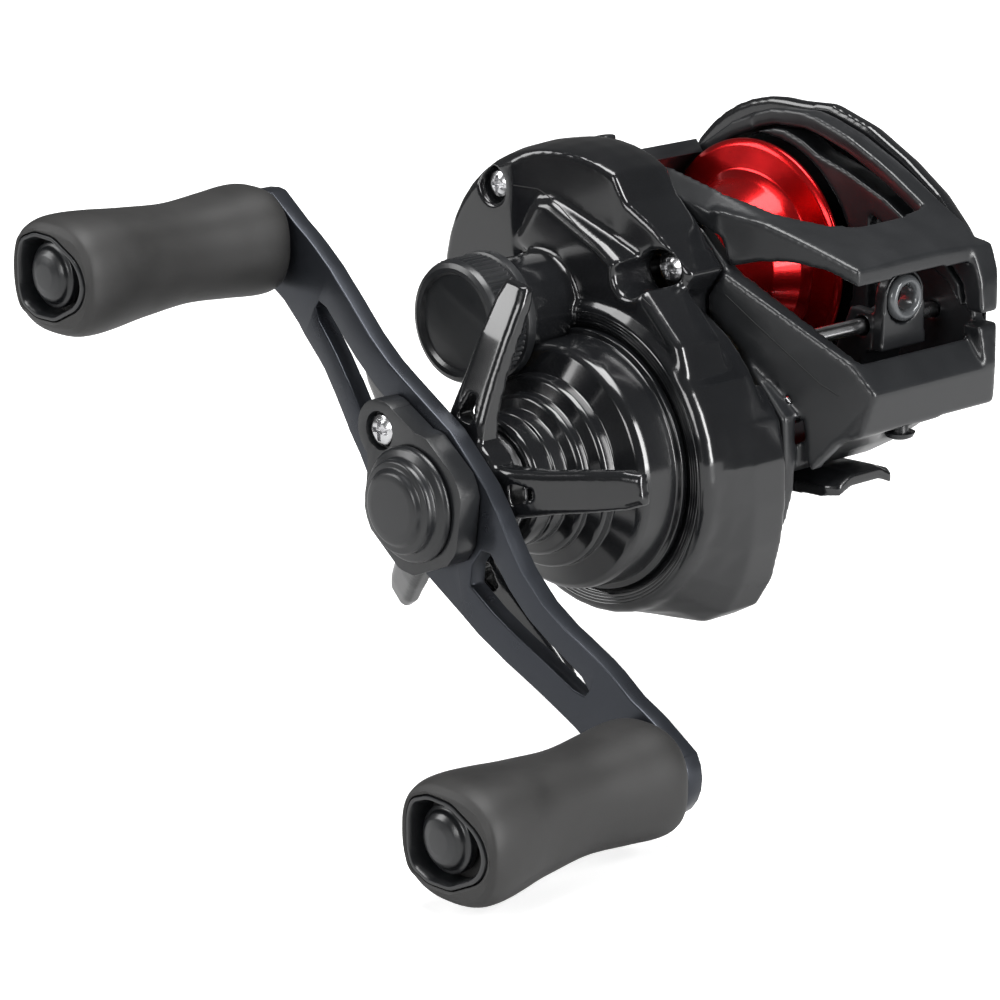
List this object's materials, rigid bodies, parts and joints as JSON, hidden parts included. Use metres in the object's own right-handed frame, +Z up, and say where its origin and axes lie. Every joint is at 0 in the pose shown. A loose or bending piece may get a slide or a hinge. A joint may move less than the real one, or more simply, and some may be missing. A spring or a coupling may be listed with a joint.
{
  "type": "baitcasting fishing reel",
  "caption": "Low-profile casting reel: frame with hood and foot, geared crank handle with two knobs, star drag, wide spool, level-wind line guide, cast-control cap and brake dial.",
  "frame": {"origin": "middle of the flat underside of the reel foot", "axes": "+X forwards along the rod towards its tip, +Y to the palm side (left), +Z up away from the rod; the handle is on the -Y side"},
  "size_m": [0.0888, 0.1136, 0.0745],
  "materials": {
    "black_gloss": "gloss black moulded shell",
    "black_satin": "satin black paint on die-cast metal",
    "black_anodised": "blue-black anodised, bright on the edges",
    "red_anodised": "red anodised, turned",
    "knob_rubber": "matte",
    "ceramic": "grey ceramic ring",
    "brass": "machined",
    "white_plastic": "moulded",
    "carbon": "woven drag washer",
    "steel": "polished"
  },
  "bodies": {
    "reel_frame": {"frame": "black_satin", "hood": "black_satin", "reel_foot": "black_satin", "foot_screw_rear": "steel", "foot_screw_front": "steel", "chin_plug": "black_satin", "handle_side_cover": "black_gloss", "cover_screw_rear": "steel", "cover_screw_front": "steel", "cover_screw_lower": "steel", "drive_boss": "black_gloss", "reverse_clutch_bearing": "steel", "pinion_bearing": "steel", "cast_control_shim": "brass", "palm_side_cover": "black_gloss", "brake_magnet_ring": "steel", "spool_bearing_palm": "steel", "level_wind_bar": "steel", "yoke_pin_front": "steel", "yoke_pin_rear": "steel", "yoke_spring_front": "steel", "yoke_spring_rear": "steel"},
    "handle": {"drive_shaft": "steel", "drive_gear": "brass", "drag_washer_inner": "carbon", "drag_washer_metal": "steel", "drag_washer_outer": "carbon", "drag_pressure_plate": "steel", "drag_spring_washer": "steel", "reverse_clutch_sleeve": "steel", "level_wind_idler": "white_plastic", "star_spacer": "steel", "handle_arm": "black_anodised", "nut_retainer": "black_satin", "handle_nut": "steel", "nut_cap": "black_satin", "retainer_screw": "steel", "knob_spindle_upper": "steel", "knob_spindle_lower": "steel"},
    "star": {"star_drag": "black_gloss"},
    "knob_a": {"knob_upper": "knob_rubber", "knob_bezel_upper": "black_satin", "knob_cap_upper": "black_satin"},
    "knob_b": {"knob_lower": "knob_rubber", "knob_bezel_lower": "black_satin", "knob_cap_lower": "black_satin"},
    "spool_rotor": {"spool": "red_anodised", "spool_shaft": "steel"},
    "yoke": {"clutch_yoke": "white_plastic"},
    "pinion": {"pinion_gear": "brass"},
    "clutch_lever": {"thumb_bar": "black_satin", "clutch_plate": "steel"},
    "worm": {"worm_shaft": "steel", "worm_gear": "white_plastic"},
    "line_carriage": {"line_guide": "black_satin", "line_guide_ring": "ceramic", "pawl": "steel", "pawl_cap": "brass"},
    "tension_cap": {"cast_control_cap": "black_satin"},
    "dial": {"brake_dial": "black_satin"}
  },
  "joints": [
    {"name": "handle_spin", "type": "hinge", "parent": "reel_frame", "child": "handle", "pos_m": [0.008, -0.03, 0.0055], "axis": [0, 1, 0], "continuous": true},
    {"name": "star_drag_turn", "type": "hinge", "parent": "handle", "child": "star", "pos_m": [0.008, -0.05, 0.0055], "axis": [0, 1, 0], "range_deg": [-180, 180]},
    {"name": "knob_spin_upper", "type": "hinge", "parent": "handle", "child": "knob_a", "pos_m": [-0.02794, -0.07, 0.03258], "axis": [0, 1, 0], "continuous": true},
    {"name": "knob_spin_lower", "type": "hinge", "parent": "handle", "child": "knob_b", "pos_m": [0.04394, -0.07, -0.02158], "axis": [0, 1, 0], "continuous": true},
    {"name": "spool_spin", "type": "hinge", "parent": "reel_frame", "child": "spool_rotor", "pos_m": [-0.002, 0, 0.024], "axis": [0, 1, 0], "continuous": true},
    {"name": "thumb_bar_press", "type": "hinge", "parent": "reel_frame", "child": "clutch_lever", "pos_m": [-0.002, 0, 0.024], "axis": [0, -1, 0], "range_deg": [0, 11]},
    {"name": "clutch_yoke_slide", "type": "slide", "parent": "reel_frame", "child": "yoke", "axis": [0, -1, 0], "range_m": [0, 0.0013], "deforming": ["yoke_spring_front", "yoke_spring_rear"]},
    {"name": "pinion_spin", "type": "hinge", "parent": "yoke", "child": "pinion", "pos_m": [-0.002, -0.018, 0.024], "axis": [0, 1, 0], "continuous": true},
    {"name": "worm_spin", "type": "hinge", "parent": "reel_frame", "child": "worm", "pos_m": [0.0216, 0, 0.0106], "axis": [0, 1, 0], "continuous": true},
    {"name": "line_guide_slide", "type": "slide", "parent": "reel_frame", "child": "line_carriage", "axis": [0, 1, 0], "range_m": [-0.0088, 0.0043]},
    {"name": "cast_control_turn", "type": "hinge", "parent": "reel_frame", "child": "tension_cap", "pos_m": [-0.002, -0.04, 0.024], "axis": [0, 1, 0], "range_deg": [-180, 180]},
    {"name": "brake_dial_turn", "type": "hinge", "parent": "reel_frame", "child": "dial", "pos_m": [-0.002, 0.023, 0.024], "axis": [0, 1, 0], "range_deg": [0, 270]}
  ],
  "couplings": [
    {"joint": "spool_spin", "follows": "handle_spin", "ratio": -6.3},
    {"joint": "pinion_spin", "follows": "handle_spin", "ratio": -6.3},
    {"joint": "worm_spin", "follows": "handle_spin", "ratio": -2.8571},
    {"joint": "clutch_yoke_slide", "follows": "thumb_bar_press", "m_per_rad": 0.00625}
  ]
}
